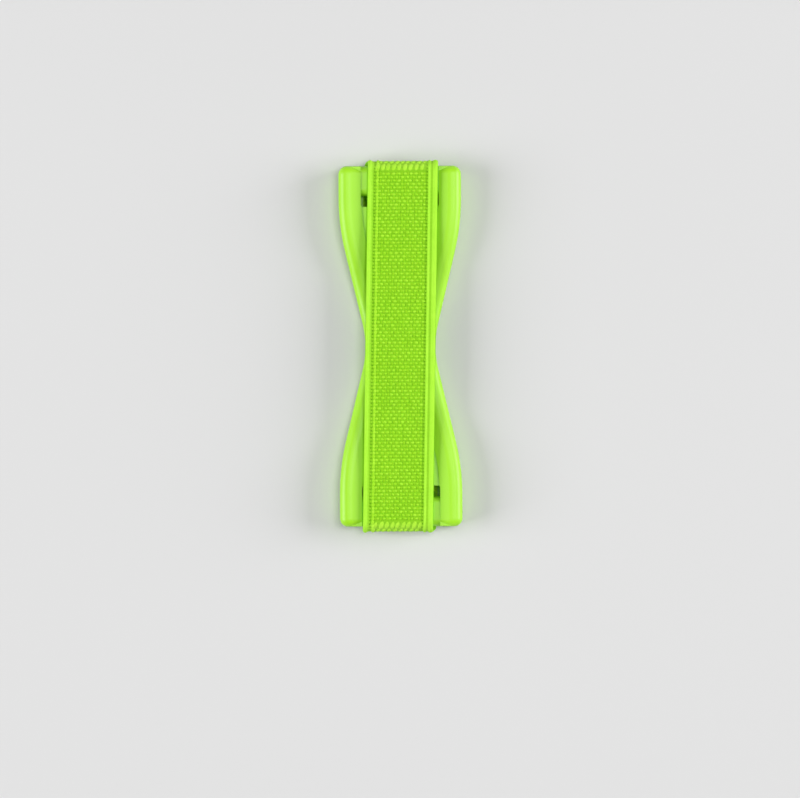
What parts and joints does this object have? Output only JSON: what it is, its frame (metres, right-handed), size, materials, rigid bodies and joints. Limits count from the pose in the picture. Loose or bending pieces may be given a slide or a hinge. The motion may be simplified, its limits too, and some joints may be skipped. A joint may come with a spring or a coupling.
{
  "type": "phone finger strap",
  "caption": "Hourglass plastic base with a taut woven elastic band along it and an adhesive pad underneath; it sticks to a phone's back and a finger slips under the band.",
  "frame": {"origin": "centre of the adhesive face, which lies on the phone", "axes": "+Z away from the adhesive face, +Y along the band, +X across it"},
  "size_m": [0.0218, 0.0662, 0.0056],
  "materials": {
    "lime_plastic": "satin",
    "lime_elastic": "matte",
    "foam_adhesive": "matte"
  },
  "bodies": {
    "root": {"base_plate": "lime_plastic", "elastic_strap": "lime_elastic", "adhesive_pad": "foam_adhesive"}
  },
  "joints": []
}
